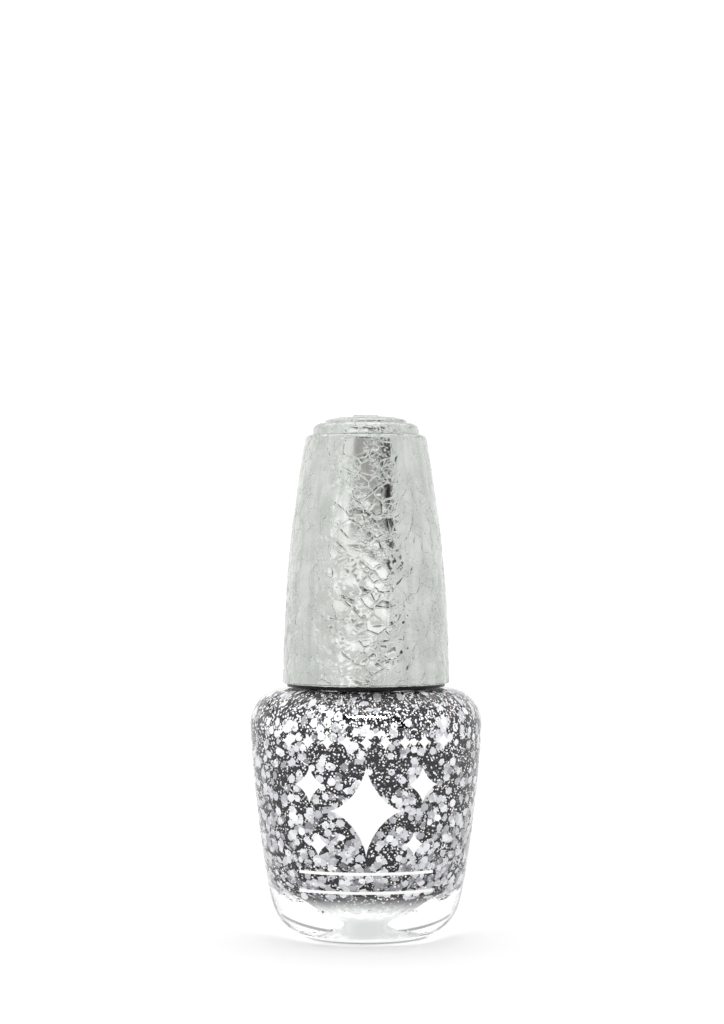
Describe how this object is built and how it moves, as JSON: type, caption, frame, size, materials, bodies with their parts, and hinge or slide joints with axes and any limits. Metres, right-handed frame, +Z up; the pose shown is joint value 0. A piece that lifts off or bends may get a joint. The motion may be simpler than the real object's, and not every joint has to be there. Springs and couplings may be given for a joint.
{
  "type": "nail polish bottle",
  "caption": "Round tapered glass bottle of silver glitter nail polish, with a tall crackled-silver screw cap that carries the brush.",
  "frame": {"origin": "centre of the foot, on the surface that the bottle stands on", "axes": "+Z up along the axis of the bottle and cap; -Y is the printed front"},
  "size_m": [0.032, 0.0321, 0.072],
  "materials": {
    "clear_glass": "polished clear flint glass",
    "glitter_polish": "dark clear lacquer packed with silver glitter flakes",
    "ball_steel": "polished stainless steel",
    "white_ink": "opaque screen-print ink",
    "liner_foam": "soft polyethylene",
    "stem_plastic": "moulded polyethylene",
    "anchor_wire": "bright flat wire",
    "bristle_nylon": "fine nylon filament",
    "black_plastic": "moulded polypropylene",
    "crackled_foil": "metallised silver crackle over moulded plastic"
  },
  "bodies": {
    "bottle": {"glass_bottle": "clear_glass", "nail_polish": "glitter_polish", "front_print": "white_ink"},
    "balls": {"mixing_balls": "ball_steel"},
    "liner": {"cap_liner": "liner_foam"},
    "brush": {"brush_stem": "stem_plastic", "bristle_anchor": "anchor_wire", "brush_bristles": "bristle_nylon"},
    "cap": {"inner_cap": "black_plastic", "outer_cap": "crackled_foil"}
  },
  "joints": [
    {"name": "cap_lift", "type": "slide", "parent": "bottle", "child": "liner", "axis": [0, 0, 1], "range_m": [0, 0.045]},
    {"name": "cap_rise", "type": "slide", "parent": "liner", "child": "brush", "axis": [0, 0, 1], "range_m": [0, 0.00371]},
    {"name": "cap_turn", "type": "hinge", "parent": "brush", "child": "cap", "pos_m": [0, 0, 0.035], "axis": [0, 0, 1], "range_deg": [0, 630]},
    {"name": "balls_roll", "type": "hinge", "parent": "bottle", "child": "balls", "pos_m": [0, 0, 0.00724], "axis": [0, 0, 1], "continuous": true}
  ],
  "couplings": [
    {"joint": "cap_rise", "follows": "cap_turn", "m_per_rad": 0.00033688}
  ]
}
